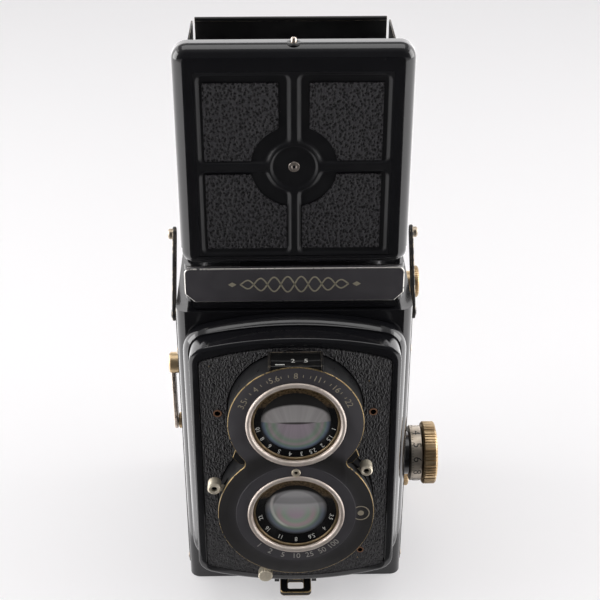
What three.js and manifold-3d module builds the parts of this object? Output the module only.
// A 6x6 twin lens reflex camera of the early 1930s, with its viewing hood open.
// Millimetres, +Z up, the lenses look along -Y and the origin is the middle of the base.
// Inside the top group y runs backwards from the front face of the body (y = 0).
import * as THREE from 'three';
import { mergeVertices } from 'three/addons/utils/BufferGeometryUtils.js';
import Module from 'manifold-3d';

const wasm = await Module();
wasm.setup();

// ---------------------------------------------------------------- driving dimensions
const GAP = 0.3;
const BODY_WIDTH = 80;
const BODY_DEPTH = 75;
const BODY_HEIGHT = 117.5;
const WALL = 2.6;
const BACK_THICKNESS = 3.2;
const TAKING_Z = 49.4;
const LENS_SPACING = 37.9;
const VIEWING_Z = TAKING_Z + LENS_SPACING;
const FILM_Y = 61;
const FRAME_SIZE = 55;
const MIRROR_Y = 29;
const STANDARD_Y = -13.8;
const COVER_Y = -23.3;
const RING_Y = -24.1;
const HALF = BODY_WIDTH / 2;
const SHELL_REAR = BODY_DEPTH - BACK_THICKNESS - GAP;

// ---------------------------------------------------------------- finishes
const finishes = {
  black: [0x101113, 0.25, 0.0],
  satin: [0x2b2d33, 0.5, 0.3],
  leather: [0x17181a, 0.6, 0.0],
  nickel: [0xb9b4aa, 0.3, 1.0],
  brass: [0x8e7a4e, 0.4, 1.0],
  steel: [0x8d9095, 0.35, 1.0],
  glass: [0x9aa4a8, 0.05, 0.0],
  screen: [0xd8dcdc, 0.5, 0.0],
  mirror: [0xe8ecee, 0.03, 1.0],
  red: [0x7a0c0c, 0.2, 0.0],
};

// ---------------------------------------------------------------- shape helpers
function solid(geometry) {
  const plain = geometry.index ? geometry.toNonIndexed() : geometry.clone();
  plain.deleteAttribute('normal');
  plain.deleteAttribute('uv');
  const merged = mergeVertices(plain, 1e-4);
  const mesh = new wasm.Mesh({
    numProp: 3,
    vertProperties: new Float32Array(merged.attributes.position.array),
    triVerts: new Uint32Array(merged.index.array),
  });
  return new wasm.Manifold(mesh);
}

function box(x0, x1, y0, y1, z0, z1) {
  const geometry = new THREE.BoxGeometry(x1 - x0, y1 - y0, z1 - z0);
  geometry.translate((x0 + x1) / 2, (y0 + y1) / 2, (z0 + z1) / 2);
  return solid(geometry);
}

// A shape drawn in X and Z, pushed along Y.
function prismY(shape, y0, y1, curveSegments = 12) {
  const settings = { depth: y1 - y0, bevelEnabled: false, curveSegments };
  const geometry = new THREE.ExtrudeGeometry(shape, settings);
  geometry.rotateX(Math.PI / 2);
  geometry.translate(0, y1, 0);
  return solid(geometry);
}

// A shape drawn in Y and Z, pushed along X.
function prismX(shape, x0, x1, curveSegments = 12) {
  const settings = { depth: x1 - x0, bevelEnabled: false, curveSegments };
  const geometry = new THREE.ExtrudeGeometry(shape, settings);
  const turn = new THREE.Matrix4().makeBasis(
    new THREE.Vector3(0, 1, 0),
    new THREE.Vector3(0, 0, 1),
    new THREE.Vector3(1, 0, 0),
  );
  geometry.applyMatrix4(turn);
  geometry.translate(x0, 0, 0);
  return solid(geometry);
}

// A shape drawn in X and Y, pushed along Z.
function prismZ(shape, z0, z1, curveSegments = 12) {
  const settings = { depth: z1 - z0, bevelEnabled: false, curveSegments };
  const geometry = new THREE.ExtrudeGeometry(shape, settings);
  geometry.translate(0, 0, z0);
  return solid(geometry);
}

// A round piece on an axis along X, Y or Z. The profile lists [radius, place along the axis].
function turned(axis, profile, centre, segments) {
  const points = profile.map(([r, along]) => new THREE.Vector2(r, along));
  const onAxis = points[0].x === 0 && points[points.length - 1].x === 0;
  if (!onAxis) points.push(points[0].clone());
  const area = points.reduce((sum, p, i) => {
    const q = points[(i + 1) % points.length];
    return sum + p.x * q.y - q.x * p.y;
  }, 0);
  if (area < 0) points.reverse();
  const geometry = new THREE.LatheGeometry(points, segments);
  if (axis === 'x') geometry.rotateZ(-Math.PI / 2);
  if (axis === 'z') geometry.rotateX(Math.PI / 2);
  geometry.translate(...centre);
  return solid(geometry);
}

function rod(axis, radius, from, to, centre, segments = 16) {
  return turned(axis, [[0, from], [radius, from], [radius, to], [0, to]], centre, segments);
}

function tube(axis, inner, outer, from, to, centre, segments = 24) {
  const profile = [[inner, from], [outer, from], [outer, to], [inner, to]];
  return turned(axis, profile, centre, segments);
}

function polygon(points) {
  return new THREE.Shape(points.map(([a, b]) => new THREE.Vector2(a, b)));
}

function roundedRect(x0, x1, y0, y1, radius) {
  const shape = new THREE.Shape();
  shape.moveTo(x0 + radius, y0);
  shape.lineTo(x1 - radius, y0);
  shape.absarc(x1 - radius, y0 + radius, radius, -Math.PI / 2, 0);
  shape.lineTo(x1, y1 - radius);
  shape.absarc(x1 - radius, y1 - radius, radius, 0, Math.PI / 2);
  shape.lineTo(x0 + radius, y1);
  shape.absarc(x0 + radius, y1 - radius, radius, Math.PI / 2, Math.PI);
  shape.lineTo(x0, y0 + radius);
  shape.absarc(x0 + radius, y0 + radius, radius, Math.PI, Math.PI * 1.5);
  return shape;
}

// The outline of the lens standard: upright sides, an arched top and a bowed bottom.
function archedOutline({ half, top, topRise, bottom, bottomRise, corner }) {
  const steps = 8;
  const points = [];
  function corners(sign, edge, rise) {
    const radius = (half * half + rise * rise) / (2 * rise);
    const inner = half - corner;
    const height = (x) => edge - sign * (radius - Math.sqrt(radius * radius - x * x));
    const cornerHeight = height(half);
    const curve = new THREE.QuadraticBezierCurve(
      new THREE.Vector2(half, cornerHeight - sign * corner),
      new THREE.Vector2(half, cornerHeight),
      new THREE.Vector2(inner, height(inner)),
    );
    const right = curve.getPoints(4);
    const across = [];
    for (let i = 1; i < steps; i += 1) {
      const x = inner - (2 * inner * i) / steps;
      across.push(new THREE.Vector2(x, height(x)));
    }
    const left = right.map((p) => new THREE.Vector2(-p.x, p.y)).reverse();
    return [...right, ...across, ...left];
  }
  points.push(...corners(1, top, topRise));
  points.push(...corners(-1, bottom, bottomRise).reverse());
  return points;
}

function inset(outline, by) {
  return {
    ...outline,
    half: outline.half - by,
    top: outline.top - by,
    bottom: outline.bottom + by,
    corner: Math.max(outline.corner - by, 1),
  };
}

function arched(outline, y0, y1) {
  return prismY(new THREE.Shape(archedOutline(outline)), y0, y1);
}

// A solid between two outlines of equal point count, one at y0 and one at y1.
function loftY(first, y0, second, y1) {
  const count = first.length;
  const positions = [];
  const corner = (point, y) => positions.push(point.x, y, point.y);
  const caps = THREE.ShapeUtils.triangulateShape(first, []);
  caps.forEach(([a, b, c]) => {
    corner(first[a], y0);
    corner(first[b], y0);
    corner(first[c], y0);
    corner(second[c], y1);
    corner(second[b], y1);
    corner(second[a], y1);
  });
  for (let i = 0; i < count; i += 1) {
    const j = (i + 1) % count;
    corner(first[i], y0);
    corner(second[i], y1);
    corner(first[j], y0);
    corner(first[j], y0);
    corner(second[i], y1);
    corner(second[j], y1);
  }
  const geometry = new THREE.BufferGeometry();
  geometry.setAttribute('position', new THREE.Float32BufferAttribute(positions, 3));
  return solid(geometry);
}

// ---------------------------------------------------------------- scene graph
const camera = new THREE.Group();
camera.position.y = -BODY_DEPTH / 2;

function piece(name, manifold, finish, parent = camera) {
  const cut = manifold.getMesh();
  const geometry = new THREE.BufferGeometry();
  geometry.setAttribute('position', new THREE.Float32BufferAttribute(cut.vertProperties, 3));
  geometry.setIndex(new THREE.Uint32BufferAttribute(cut.triVerts, 1));
  geometry.computeVertexNormals();
  const [color, roughness, metalness] = finishes[finish];
  const material = new THREE.MeshStandardMaterial({ color, roughness, metalness });
  const mesh = new THREE.Mesh(geometry, material);
  mesh.name = name;
  parent.add(mesh);
  return mesh;
}

// ---------------------------------------------------------------- film path places
const SUPPLY = { y: 47, z: 14.2 };
const TAKE_UP = { y: 59, z: 95.3 };
const SPOOL_RADIUS = 12.4;
const ROLLER_RADIUS = 2.2;
const ROLLER_Y = FILM_Y - ROLLER_RADIUS;
const ROLLER_Z = [18, 81];

// ---------------------------------------------------------------- controls on the sides
const FOCUS = { y: 14.5, z: 46.8 };
const CRANK = { y: 27, z: 80 };
const SHAFT_RADIUS = 1.8;
const SHAFT_HOLE = SHAFT_RADIUS + GAP;

// ---------------------------------------------------------------- body
const BACK_HINGE = { y: 73.6, z: 115.6, radius: 1.4, half: 18 };
const PIN_RADIUS = 0.6;
const PIN_HOLE = PIN_RADIUS + GAP;
const SCREEN = { half: 28, y0: 3.6, y1: 57.6 };
const RACK = { x0: 28.2, x1: 31.2, z0: 49.3, z1: 52 };
const LATCH = { y: -2.2, z: 2.2, half: 5.8 };

function bodyShell() {
  const outside = new THREE.Shape();
  const round = 4;
  outside.moveTo(-HALF, SHELL_REAR);
  outside.lineTo(-HALF, round);
  outside.absarc(-HALF + round, round, round, Math.PI, Math.PI * 1.5);
  outside.lineTo(HALF - round, 0);
  outside.absarc(HALF - round, round, round, -Math.PI / 2, 0);
  outside.lineTo(HALF, SHELL_REAR);
  let shell = prismZ(outside, 0, BODY_HEIGHT, 6);
  const inner = HALF - WALL;
  shell = shell.subtract(box(-inner, inner, WALL, BODY_DEPTH, -1, BODY_HEIGHT - WALL));
  const { half, y0, y1 } = SCREEN;
  shell = shell.subtract(box(-half, half, y0, y1, BODY_HEIGHT - 2 * WALL, BODY_HEIGHT + 1));
  shell = shell.subtract(rod('y', 17.5, -1, WALL + 1, [0, 0, TAKING_Z], 32));
  shell = shell.subtract(rod('y', 16, -1, WALL + 1, [0, 0, VIEWING_Z], 32));
  const slack = 0.6;
  shell = shell.subtract(
    box(RACK.x0 - slack, RACK.x1 + slack, -1, WALL + 1, RACK.z0 - slack, RACK.z1 + slack),
  );
  shell = shell.add(rod('x', 8, HALF - 1, HALF + 2.3, [0, FOCUS.y, FOCUS.z], 24));
  [-1, 1].forEach((side) => {
    const lug0 = side * (LATCH.half + GAP);
    const lug1 = side * (LATCH.half + GAP + 1.8);
    shell = shell.add(box(Math.min(lug0, lug1), Math.max(lug0, lug1), -3.8, 1, 0.4, 4));
    const knuckle0 = side * (BACK_HINGE.half + 0.4);
    const knuckle1 = side * (BACK_HINGE.half + 10);
    const left = Math.min(knuckle0, knuckle1);
    const right = Math.max(knuckle0, knuckle1);
    shell = shell.add(rod('x', BACK_HINGE.radius, left, right, [0, BACK_HINGE.y, BACK_HINGE.z], 12));
    shell = shell.add(box(left, right, SHELL_REAR - 1, BACK_HINGE.y, BACK_HINGE.z - 0.6, BACK_HINGE.z + 1.3));
  });
  shell = shell.subtract(rod('x', PIN_HOLE, -30, 30, [0, BACK_HINGE.y, BACK_HINGE.z], 10));
  shell = shell.subtract(rod('x', 1, -9, 9, [0, LATCH.y, LATCH.z], 10));
  [FOCUS, TAKE_UP, SUPPLY].forEach((place) => {
    shell = shell.subtract(rod('x', SHAFT_HOLE, HALF - 5, HALF + 5, [0, place.y, place.z], 16));
  });
  shell = shell.subtract(rod('x', SHAFT_HOLE, -HALF - 5, -HALF + 5, [0, CRANK.y, CRANK.z], 16));
  piece('body_shell', shell, 'black');
}

function lightCone() {
  const square = (half) => [[half, -half], [half, half], [-half, half], [-half, -half]];
  const outline = (half) => square(half).map(([x, z]) => new THREE.Vector2(x, TAKING_Z + z));
  const near = 15;
  const far = 28;
  const skin = 0.8;
  const from = 3.2;
  const to = 57.2;
  const outer = loftY(outline(near + skin), from, outline(far + skin), to);
  const grow = (far - near) / (to - from);
  const hollow = loftY(outline(near - grow), from - 1, outline(far + grow), to + 1);
  piece('light_cone', outer.subtract(hollow), 'black');
}

function filmGate() {
  const half = FRAME_SIZE / 2;
  const plate = box(-37.1, 37.1, 57.6, FILM_Y - 0.6, 20.9, 78.2);
  const window = box(-half, half, 50, 70, TAKING_Z - half, TAKING_Z + half);
  piece('film_gate', plate.subtract(window), 'black');
}

function reflexMirror() {
  const thickness = 1.8;
  const from = 12;
  const to = 51;
  const height = (y) => VIEWING_Z + y - MIRROR_Y;
  const back = thickness * Math.SQRT1_2;
  const section = polygon([
    [from, height(from)],
    [from + back, height(from) - back],
    [to + back, height(to) - back],
    [to, height(to)],
  ]);
  piece('reflex_mirror', prismX(section, -27, 27), 'mirror');
}

function screen() {
  const glass = box(-28.9, 28.9, 3.9, 57.8, 117.9, 119.4);
  piece('ground_glass', glass, 'screen');
  const outer = box(-28.9, 28.9, 3.9, 57.8, 119.7, 121.2);
  piece('screen_frame', outer.subtract(box(-26.4, 26.4, 6.4, 55.3, 119, 122)), 'satin');
}

// ---------------------------------------------------------------- viewing hood
const HOOD_TOP = 133.6;
const LID_HINGE = { y: 4.6, z: 137.6, radius: 1.3, half: 18 };
const FLAP_PIN_RADIUS = 0.42;
const FLAP_HOLE = FLAP_PIN_RADIUS + GAP;
const FLAP_BARREL = 1.02;
const SIDE_HINGES = [
  { name: 'left', side: -1, x: -34.6, z: 135.1 },
  { name: 'right', side: 1, x: 34.6, z: 137 },
];
const FLAP_Y = { front: 10.7, rear: 64.8, post: 1.6 };
const FLAP_TOP = 196.6;
const REAR_HINGE = { y: 69.8, z: 138.9, half: 31, width: 33.9 };
const FLAP_SHEET = 0.6;

function hoodBase() {
  let base = box(-33.9, 33.9, 1.5, 73, 117.8, 120.5);
  base = base.add(prismZ(roundedRect(-36.4, 36.4, 2.6, 73.4, 2), 120, HOOD_TOP, 4));
  base = base.subtract(box(-29.4, 29.4, 3.5, 61.5, 117, 123));
  base = base.subtract(box(-32, 32, 6, 67, 121.5, HOOD_TOP + 1));
  const post = (x0, x1, y0, y1, top) => box(x0, x1, y0, y1, HOOD_TOP - 1, top);
  const hinge = LID_HINGE;
  base = base.add(post(-hinge.half, hinge.half, hinge.y - 1.2, hinge.y + 1.2, hinge.z));
  base = base.add(rod('x', hinge.radius, -hinge.half, hinge.half, [0, hinge.y, hinge.z], 12));
  SIDE_HINGES.forEach(({ x, z }) => {
    const ends = [
      [FLAP_Y.front - GAP - FLAP_Y.post, FLAP_Y.front - GAP],
      [FLAP_Y.rear + GAP, FLAP_Y.rear + GAP + FLAP_Y.post],
    ];
    ends.forEach(([y0, y1]) => {
      base = base.add(post(x - FLAP_BARREL, x + FLAP_BARREL, y0, y1, z));
      base = base.add(rod('y', FLAP_BARREL, y0, y1, [x, 0, z], 12));
      base = base.subtract(rod('y', FLAP_HOLE, y0 - 0.1, y1 + 0.1, [x, 0, z], 10));
    });
  });
  [-1, 1].forEach((side) => {
    const near = REAR_HINGE.half + GAP;
    const x0 = side > 0 ? near : -near - 1.8;
    const { y, z } = REAR_HINGE;
    base = base.add(post(x0, x0 + 1.8, y - FLAP_BARREL, y + FLAP_BARREL, z));
    base = base.add(rod('x', FLAP_BARREL, x0, x0 + 1.8, [0, y, z], 12));
    base = base.subtract(rod('x', FLAP_HOLE, x0 - 0.1, x0 + 1.9, [0, y, z], 10));
  });
  base = base.subtract(rod('x', PIN_HOLE, -30, 30, [0, hinge.y, hinge.z], 10));
  piece('hood_base', base, 'black');
  piece('lid_pin', rod('x', PIN_RADIUS, -25.5, 25.5, [0, hinge.y, hinge.z], 8), 'steel');
  SIDE_HINGES.forEach(({ name, x, z }) => {
    const from = FLAP_Y.front - FLAP_Y.post;
    const to = FLAP_Y.rear + FLAP_Y.post;
    piece(`${name}_flap_pin`, rod('y', FLAP_PIN_RADIUS, from, to, [x, 0, z], 8), 'steel');
  });
  const reach = REAR_HINGE.half + 1.5;
  const rearPin = rod('x', FLAP_PIN_RADIUS, -reach, reach, [0, REAR_HINGE.y, REAR_HINGE.z], 8);
  piece('rear_flap_pin', rearPin, 'steel');
}

function nameplate() {
  const half = 36.4;
  const bottom = 120.9;
  const top = 133.6;
  const chamfer = 3.2;
  const shape = new THREE.Shape();
  shape.moveTo(-half + chamfer, bottom);
  shape.lineTo(half - chamfer, bottom);
  shape.lineTo(half, bottom + chamfer);
  shape.lineTo(half, top - 2);
  shape.absarc(half - 2, top - 2, 2, 0, Math.PI / 2);
  shape.lineTo(-half + 2, top);
  shape.absarc(-half + 2, top - 2, 2, Math.PI / 2, Math.PI);
  shape.lineTo(-half, bottom + chamfer);
  piece('nameplate', prismY(shape, 0.3, 2.3, 5), 'satin');
}

const LID = { half: 37.3, bottom: 134, top: 208.8, y0: 1, y1: 8, skin: 0.9, panel: 2, corner: 5 };
const LID_PANEL = { half: 30.1, bottom: 138.4, top: 200.2, depth: 0.9, corner: 2.5 };
const MAGNIFIER = { y: 5.2, z: 201, half: 12, lens: 13.2, centre: 184 };
const CATCH_Y = 4.6;

function lid() {
  const hinge = LID_HINGE;
  const outer = roundedRect(-LID.half, LID.half, LID.bottom, LID.top, LID.corner);
  const skin = LID.skin;
  const inner = roundedRect(
    -LID.half + skin,
    LID.half - skin,
    LID.bottom - 8,
    LID.top - skin,
    LID.corner - skin,
  );
  const panelBack = LID.y0 + LID.panel;
  let tray = prismY(outer, LID.y0, LID.y1, 6).subtract(prismY(inner, panelBack, LID.y1 + 1, 6));
  const recess = roundedRect(
    -LID_PANEL.half,
    LID_PANEL.half,
    LID_PANEL.bottom,
    LID_PANEL.top,
    LID_PANEL.corner,
  );
  tray = tray.subtract(prismY(recess, LID.y0 - 1, LID.y0 + LID_PANEL.depth, 5));
  tray = tray.subtract(box(-40, 40, panelBack, LID.y1 + 1, LID.bottom - 1, LID.bottom + 6));
  [-1, 1].forEach((side) => {
    const near = hinge.half + 0.4;
    const x0 = side > 0 ? near : -near - 7;
    tray = tray.add(rod('x', hinge.radius, x0, x0 + 7, [0, hinge.y, hinge.z], 12));
    tray = tray.add(box(x0, x0 + 7, panelBack - 0.5, hinge.y, hinge.z - 0.5, hinge.z + hinge.radius));
    const lugNear = MAGNIFIER.half + 0.4;
    const lug0 = side > 0 ? lugNear : -lugNear - 1.6;
    const { y, z } = MAGNIFIER;
    tray = tray.add(box(lug0, lug0 + 1.6, panelBack - 0.5, y + 1.2, z - 1.3, z + 1.3));
  });
  tray = tray.subtract(rod('x', PIN_HOLE, -30, 30, [0, hinge.y, hinge.z], 10));
  tray = tray.subtract(rod('x', 1, -16, 16, [0, MAGNIFIER.y, MAGNIFIER.z], 10));
  tray = tray.subtract(rod('z', 1.2, LID.top - 3, LID.top + 1, [0, CATCH_Y, 0], 12));
  piece('lid', tray, 'black');

  const cover = roundedRect(
    -LID_PANEL.half + GAP,
    LID_PANEL.half - GAP,
    LID_PANEL.bottom + GAP,
    LID_PANEL.top - GAP,
    LID_PANEL.corner - GAP,
  );
  piece('lid_leather', prismY(cover, LID.y0 + 0.1, LID.y0 + LID_PANEL.depth - GAP, 5), 'leather');

  const catchProfile = [
    [0, 203.5],
    [1.4, 203.5],
    [1.4, 204.3],
    [0.9, 204.3],
    [0.9, LID.top + 1.6],
    [0, LID.top + 1.6],
  ];
  piece('lid_catch', turned('z', catchProfile, [0, CATCH_Y, 0], 16), 'nickel');
}

function magnifier() {
  const { y, z, half, lens, centre } = MAGNIFIER;
  const plate = roundedRect(-16, 16, centre - 16, centre + 14.8, 4);
  let frame = prismY(plate, 4.7, 5.7, 5);
  frame = frame.subtract(rod('y', lens + GAP, 4, 7, [0, 0, centre], 28));
  frame = frame.add(rod('x', 1.1, -half, half, [0, y, z], 10));
  frame = frame.add(rod('x', 0.7, -half - 1.8, half + 1.8, [0, y, z], 10));
  frame = frame.add(box(-half, half, 4.8, 5.6, centre + 14, z));
  piece('magnifier_frame', frame, 'satin');
  const glass = [[0, 4.3], [6, 4.45], [lens, 4.9], [lens, 5.5], [6, 5.95], [0, 6.1]];
  piece('magnifier_lens', turned('y', glass, [0, 0, centre], 28), 'glass');
}

function flaps() {
  SIDE_HINGES.forEach(({ name, x, z }) => {
    const { front, rear } = FLAP_Y;
    const outline = polygon([
      [front, z],
      [rear, z],
      [rear, z + 2],
      [rear + 1.2, z + 3.2],
      [rear + 1.2, FLAP_TOP - 0.4],
      [rear + 0.8, FLAP_TOP],
      [46, FLAP_TOP],
      [44, FLAP_TOP - 1],
      [front, z + 5],
    ]);
    let sheet = prismX(outline, x - FLAP_SHEET / 2, x + FLAP_SHEET / 2);
    sheet = sheet.add(rod('y', FLAP_BARREL, front, rear, [x, 0, z], 10));
    sheet = sheet.subtract(rod('y', FLAP_HOLE, front - 1, rear + 1, [x, 0, z], 10));
    piece(`${name}_flap`, sheet, 'satin');
  });
  const { y, z, half, width } = REAR_HINGE;
  const outline = new THREE.Shape();
  const hem = 0.8;
  const top = FLAP_TOP - hem;
  outline.moveTo(-half, z);
  outline.lineTo(half, z);
  outline.lineTo(half, z + 2);
  outline.lineTo(width, z + 4);
  outline.lineTo(width, top);
  outline.lineTo(-width, top);
  outline.lineTo(-width, z + 4);
  outline.lineTo(-half, z + 2);
  let sheet = prismY(outline, y - FLAP_SHEET / 2, y + FLAP_SHEET / 2, 6);
  sheet = sheet.add(rod('x', FLAP_BARREL, -half, half, [0, y, z], 10));
  sheet = sheet.subtract(rod('x', FLAP_HOLE, -half - 1, half + 1, [0, y, z], 10));
  sheet = sheet.add(rod('x', hem, -width, width, [0, y, top], 12));
  piece('rear_flap', sheet, 'satin');
}

// ---------------------------------------------------------------- back and its latch
function back() {
  const hinge = BACK_HINGE;
  const inside = BODY_DEPTH - BACK_THICKNESS;
  const panelTop = 113.6;
  const outside = new THREE.Shape();
  const round = 2.5;
  outside.moveTo(-HALF, inside);
  outside.lineTo(HALF, inside);
  outside.lineTo(HALF, BODY_DEPTH - round);
  outside.absarc(HALF - round, BODY_DEPTH - round, round, 0, Math.PI / 2);
  outside.lineTo(-HALF + round, BODY_DEPTH);
  outside.absarc(-HALF + round, BODY_DEPTH - round, round, Math.PI / 2, Math.PI);
  let cover = prismZ(outside, 0, panelTop, 5);
  const floor = HALF - WALL - GAP;
  cover = cover.add(box(-floor, floor, WALL + GAP, inside + 0.5, 0, 1.3));
  cover = cover.add(rod('x', hinge.radius, -hinge.half, hinge.half, [0, hinge.y, hinge.z], 12));
  cover = cover.add(box(-hinge.half, hinge.half, hinge.y - 0.8, hinge.y + 1, panelTop - 0.5, hinge.z));
  cover = cover.subtract(rod('x', PIN_HOLE, -30, 30, [0, hinge.y, hinge.z], 10));
  cover = cover.subtract(rod('y', 4.6, inside - 1, BODY_DEPTH + 1, [0, 0, 30], 20));
  cover = cover.subtract(rod('z', 3.6, -1, 3, [0, 24, 0], 20));
  piece('back_cover', cover, 'black');
  piece('back_hinge_pin', rod('x', PIN_RADIUS, -27.5, 27.5, [0, hinge.y, hinge.z], 8), 'steel');
  piece('red_window', rod('y', 4.3, inside + 0.6, BODY_DEPTH - 0.6, [0, 0, 30], 20), 'red');
  piece('tripod_bush', tube('z', 3.2, 6.5, 1.6, 9, [0, 24, 0], 20), 'steel');
  const plate = box(-31, 31, FILM_Y + 0.4, FILM_Y + 1.4, 17.5, 81.5);
  piece('pressure_plate', plate.subtract(rod('y', 4, 60, 65, [0, 0, 30], 16)), 'steel');
  const near = FILM_Y + 1.7;
  const far = inside - GAP;
  const strip = polygon([
    [far, 66],
    [near + 0.5, TAKING_Z + 5],
    [near + 0.5, TAKING_Z - 5],
    [far, 34],
    [far - 0.7, 34],
    [near, TAKING_Z - 5],
    [near, TAKING_Z + 5],
    [far - 0.7, 66],
  ]);
  piece('pressure_spring', prismX(strip, -6, 6), 'steel');

  let bail = box(-LATCH.half, LATCH.half, -12.4, -0.8, 1.1, 3.1);
  bail = bail.subtract(box(-2.9, 2.9, -10.4, -5.4, 0, 5));
  bail = bail.add(rod('x', 0.7, -LATCH.half - 1.8, LATCH.half + 1.8, [0, LATCH.y, LATCH.z], 10));
  piece('back_latch', bail, 'black');
}

// ---------------------------------------------------------------- lens standard
const PANEL_OUTLINE = { half: 35.3, top: 114.8, topRise: 4.7, bottom: 9.9, bottomRise: 5.7, corner: 5 };
const LEATHER_OUTLINE = { half: 32.4, top: 111.8, topRise: 5.2, bottom: 11.4, bottomRise: 4.9, corner: 2 };
const SKIRT_OUTLINE = { half: 38, top: 115.2, topRise: 6, bottom: 7.6, bottomRise: 6, corner: 8 };
const RIM_OUTLINE = { half: 36.3, top: 115.6, topRise: 5.2, bottom: 8.9, bottomRise: 5.8, corner: 6 };
const VIEWING_LOBE = 22.75;
const TAKING_LOBE = 27;

function surround() {
  const outer = loftY(archedOutline(RIM_OUTLINE), -5.5, archedOutline(SKIRT_OUTLINE), -GAP);
  const clear = inset(PANEL_OUTLINE, -0.4);
  piece('front_surround', outer.subtract(arched(clear, -7, 1)), 'black');
  const trap = inset(PANEL_OUTLINE, 2.2);
  const hollow = inset(PANEL_OUTLINE, 3.4);
  piece('light_trap', arched(trap, -11, -GAP).subtract(arched(hollow, -12, 1)), 'black');
}

function figureEight(grow, y0, y1) {
  const upper = rod('y', VIEWING_LOBE + grow, y0, y1, [0, 0, VIEWING_Z], 36);
  return upper.add(rod('y', TAKING_LOBE + grow, y0, y1, [0, 0, TAKING_Z], 40));
}

function lensPanel() {
  let panel = arched(PANEL_OUTLINE, STANDARD_Y, -0.6);
  panel = panel.subtract(arched(inset(PANEL_OUTLINE, 1.6), STANDARD_Y + 2.2, 1));
  panel = panel.subtract(arched(LEATHER_OUTLINE, STANDARD_Y - 1, STANDARD_Y + 0.9));
  panel = panel.subtract(rod('y', 14.2, STANDARD_Y - 1, 0, [0, 0, VIEWING_Z], 32));
  panel = panel.subtract(rod('y', 14.2, STANDARD_Y - 1, 0, [0, 0, TAKING_Z], 32));
  piece('front_panel', panel, 'black');
  const grain = arched(inset(LEATHER_OUTLINE, GAP), STANDARD_Y + 0.1, STANDARD_Y + 0.6);
  piece('front_leather', grain.subtract(figureEight(0.35, -30, 0)), 'leather');
  piece('focus_rack', box(RACK.x0, RACK.x1, STANDARD_Y + 2.5, 22, RACK.z0, RACK.z1), 'steel');
}

// Levers: rest angle of the arm about the taking lens, its travel, and the place of its plate.
const LEVERS = [
  { name: 'aperture_lever', rest: 159, from: -6, to: 46, y: -20.9, reach: 30, tip: 2.1 },
  { name: 'speed_lever', rest: 35, from: -54, to: 8, y: -19.7, reach: 29.4, tip: 2.1 },
  { name: 'release_lever', rest: 251, from: -20, to: 20, y: -18.5, reach: 34, tip: 2.6 },
];
const LEVER_SHEET = 0.9;

function sector(inner, outer, fromDegrees, toDegrees, y0, y1) {
  const steps = 6;
  const from = THREE.MathUtils.degToRad(fromDegrees);
  const to = THREE.MathUtils.degToRad(toDegrees);
  const outline = [];
  for (let i = 0; i <= steps; i += 1) {
    const a = from + ((to - from) * i) / steps;
    outline.push([outer * Math.cos(a), TAKING_Z + outer * Math.sin(a)]);
  }
  for (let i = steps; i >= 0; i -= 1) {
    const a = from + ((to - from) * i) / steps;
    outline.push([inner * Math.cos(a), TAKING_Z + inner * Math.sin(a)]);
  }
  return prismY(polygon(outline), y0, y1);
}

function lensCover() {
  const base = STANDARD_Y + 0.6;
  let cover = figureEight(0, COVER_Y, base);
  cover = cover.subtract(figureEight(-1.2, COVER_Y + 1.2, base + 1));
  cover = cover.subtract(rod('y', 15.5, COVER_Y - 1, COVER_Y + 2, [0, 0, VIEWING_Z], 32));
  cover = cover.subtract(rod('y', 15.5, COVER_Y - 1, COVER_Y + 2, [0, 0, TAKING_Z], 32));
  cover = cover.subtract(box(-8.7, 8.7, -21.9, -14.1, 106.9, 113));
  const margin = 4;
  LEVERS.forEach(({ rest, from, to, y }) => {
    const slot = sector(24, 30, rest + from - margin, rest + to + margin, y - GAP, y + LEVER_SHEET + GAP);
    cover = cover.subtract(slot);
  });
  piece('lens_cover', cover, 'satin');
  piece('peep_window', box(-8.4, 8.4, -21.6, -14.4, 107.2, 110), 'glass');
  piece('shutter_housing', tube('y', 12.4, 20.6, -21.6, base, [0, 0, TAKING_Z], 32), 'black');
}

function levers() {
  LEVERS.forEach(({ name, rest, y, reach, tip }) => {
    const angle = THREE.MathUtils.degToRad(rest);
    let lever = tube('y', 20.9, 24, y, y + LEVER_SHEET, [0, 0, TAKING_Z], 28);
    const across = 1.2;
    const start = 22.5;
    const turn = ([along, side]) => [
      along * Math.cos(angle) - side * Math.sin(angle),
      TAKING_Z + along * Math.sin(angle) + side * Math.cos(angle),
    ];
    const arm = [[start, -across], [reach, -across], [reach, across], [start, across]].map(turn);
    lever = lever.add(prismY(polygon(arm), y, y + LEVER_SHEET));
    const [tipX, tipZ] = turn([reach, 0]);
    lever = lever.add(rod('y', tip, y - 0.8, y + 2.4, [tipX, 0, tipZ], 14));
    piece(name, lever, 'nickel');
  });
}

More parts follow.
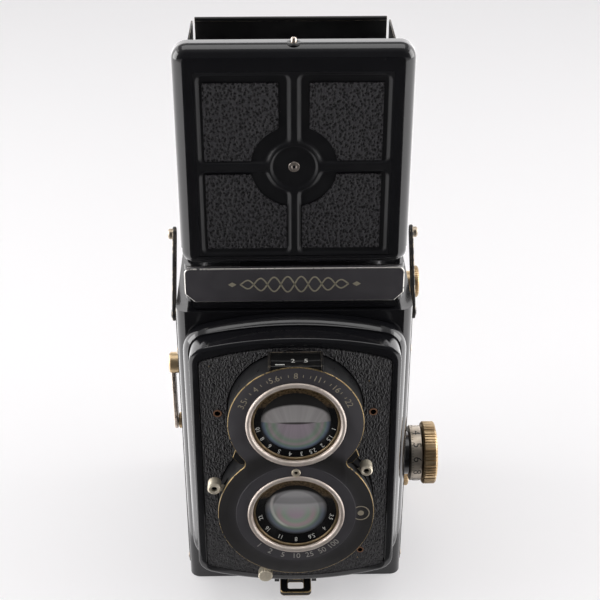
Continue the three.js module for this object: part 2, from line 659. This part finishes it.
function lenses() {
  const rings = [
    { name: 'viewing', z: VIEWING_Z, glass: 11.7, barrel: 13.5, rear: 3 },
    { name: 'taking', z: TAKING_Z, glass: 10.9, barrel: 12.1, rear: 8 },
  ];
  rings.forEach(({ name, z, glass, barrel, rear }) => {
    const front = RING_Y + 1.2;
    const ring = [
      [14.9, RING_Y],
      [16.8, RING_Y],
      [16.8, COVER_Y - GAP],
      [15.1, COVER_Y - GAP],
      [15.1, -21.9],
      [14.2, -21.9],
      [14.2, RING_Y + 0.9],
    ];
    piece(`${name}_ring`, turned('y', ring, [0, 0, z], 36), 'nickel');
    const cell = [
      [glass + GAP, front],
      [13.8, front - 0.4],
      [13.8, -21.95],
      [barrel, -21.95],
      [barrel, rear],
      [barrel - 1.6, rear],
      [barrel - 1.6, -18.6],
      [glass + GAP, -20.4],
    ];
    piece(`${name}_barrel`, turned('y', cell, [0, 0, z], 32), 'black');
    const lens = [
      [0, front - 1],
      [glass * 0.5, front - 0.7],
      [glass, front + 0.2],
      [glass, -21.2],
      [glass * 0.7, -20.8],
      [0, -20.6],
    ];
    piece(`${name}_glass`, turned('y', lens, [0, 0, z], 32), 'glass');
  });
}

// ---------------------------------------------------------------- knobs, crank and lugs
function focusKnob() {
  const centre = [0, FOCUS.y, FOCUS.z];
  const pinion = 2.2;
  const shaft = [
    [0, 28],
    [pinion, 28],
    [pinion, 31.4],
    [SHAFT_RADIUS, 31.4],
    [SHAFT_RADIUS, 50],
    [0, 50],
  ];
  piece('focus_shaft', turned('x', shaft, centre, 12), 'steel');
  piece('focus_scale', tube('x', 2.2, 10.2, 42.6, 47, centre, 32), 'nickel');
  const knob = [
    [0, 50.4],
    [2.2, 50.4],
    [2.2, 47.3],
    [11, 47.3],
    [11.6, 48],
    [11.6, 52],
    [10.9, 52.7],
    [0, 52.7],
  ];
  piece('focus_knob', turned('x', knob, centre, 32), 'brass');
}

function spoolKnobs() {
  const collar = HALF + 0.6;
  const knobs = [
    { name: 'upper_spool_knob', place: TAKE_UP, head: 6.1, outer: 48.4 },
    { name: 'lower_spool_knob', place: SUPPLY, head: 7, outer: 46.7 },
  ];
  knobs.forEach(({ name, place, head, outer }) => {
    const profile = [
      [0, 29],
      [SHAFT_RADIUS, 29],
      [SHAFT_RADIUS, collar],
      [head - 2, collar],
      [head - 2, outer - 2.6],
      [head, outer - 2.6],
      [head, outer - 0.5],
      [head - 0.5, outer],
      [0, outer],
    ];
    piece(name, turned('x', profile, [0, place.y, place.z], 24), 'brass');
  });
}

function crank() {
  const reach = 26;
  const width = 3;
  const arm = new THREE.Shape();
  arm.absarc(CRANK.y, CRANK.z, width, 0, Math.PI);
  arm.lineTo(CRANK.y - width, CRANK.z - reach);
  arm.absarc(CRANK.y, CRANK.z - reach, width, Math.PI, Math.PI * 2);
  let lever = prismX(arm, -45, -43.6, 8);
  lever = lever.add(rod('x', 3.9, -45.8, -40.4, [0, CRANK.y, CRANK.z], 20));
  lever = lever.add(rod('x', SHAFT_RADIUS, -41, -34, [0, CRANK.y, CRANK.z], 12));
  lever = lever.add(rod('x', 1.2, -44, -41, [0, CRANK.y, CRANK.z - reach], 10));
  piece('crank_arm', lever, 'nickel');
  piece('crank_handle', tube('x', 1.5, 3, -43.3, -41, [0, CRANK.y, CRANK.z - reach], 16), 'brass');
}

function strapLugs() {
  [-1, 1].forEach((side) => {
    const foot = [13.5, 109];
    const head = [32, 130.5];
    const span = Math.hypot(head[0] - foot[0], head[1] - foot[1]);
    const angle = Math.atan2(head[1] - foot[1], head[0] - foot[0]);
    const width = 2.6;
    const tongue = new THREE.Shape();
    tongue.absarc(0, 0, width, Math.PI / 2, Math.PI * 1.5);
    tongue.absarc(span, 0, width, -Math.PI / 2, Math.PI / 2);
    const settings = { depth: 1.2, bevelEnabled: false, curveSegments: 6 };
    const geometry = new THREE.ExtrudeGeometry(tongue, settings);
    geometry.rotateZ(angle);
    const turn = new THREE.Matrix4().makeBasis(
      new THREE.Vector3(0, 1, 0),
      new THREE.Vector3(0, 0, 1),
      new THREE.Vector3(1, 0, 0),
    );
    geometry.applyMatrix4(turn);
    geometry.translate(side > 0 ? 41 : -42.2, foot[0], foot[1]);
    const span0 = (a, b) => (side > 0 ? [a, b] : [-b, -a]);
    let lug = solid(geometry);
    lug = lug.add(rod('x', 2.4, ...span0(HALF + GAP, 41.2), [0, ...foot], 14));
    lug = lug.add(rod('x', 1.8, ...span0(42, 43.8), [0, ...head], 14));
    piece(side > 0 ? 'strap_lug_right' : 'strap_lug_left', lug, 'brass');
  });
}

// ---------------------------------------------------------------- film path
function filmPath() {
  const spool = (name, place, hub) => {
    const flange = 1.5;
    const end = 32.3;
    const profile = [
      [0, -end],
      [SPOOL_RADIUS, -end],
      [SPOOL_RADIUS, -end + flange],
      [hub, -end + flange],
      [hub, end - flange],
      [SPOOL_RADIUS, end - flange],
      [SPOOL_RADIUS, end],
      [SHAFT_HOLE, end],
      [SHAFT_HOLE, 26],
      [0, 26],
    ];
    piece(name, turned('x', profile, [0, place.y, place.z], 24), 'steel');
  };
  spool('supply_spool', SUPPLY, 8.5);
  spool('take_up_spool', TAKE_UP, 7.5);
  ['lower_roller', 'upper_roller'].forEach((name, i) => {
    piece(name, rod('x', ROLLER_RADIUS, -30, 30, [0, ROLLER_Y, ROLLER_Z[i]], 12), 'steel');
  });
}

bodyShell();
lightCone();
filmGate();
reflexMirror();
screen();
hoodBase();
nameplate();
lid();
magnifier();
flaps();
back();
surround();
lensPanel();
lensCover();
levers();
lenses();
focusKnob();
spoolKnobs();
crank();
strapLugs();
filmPath();

export default camera;
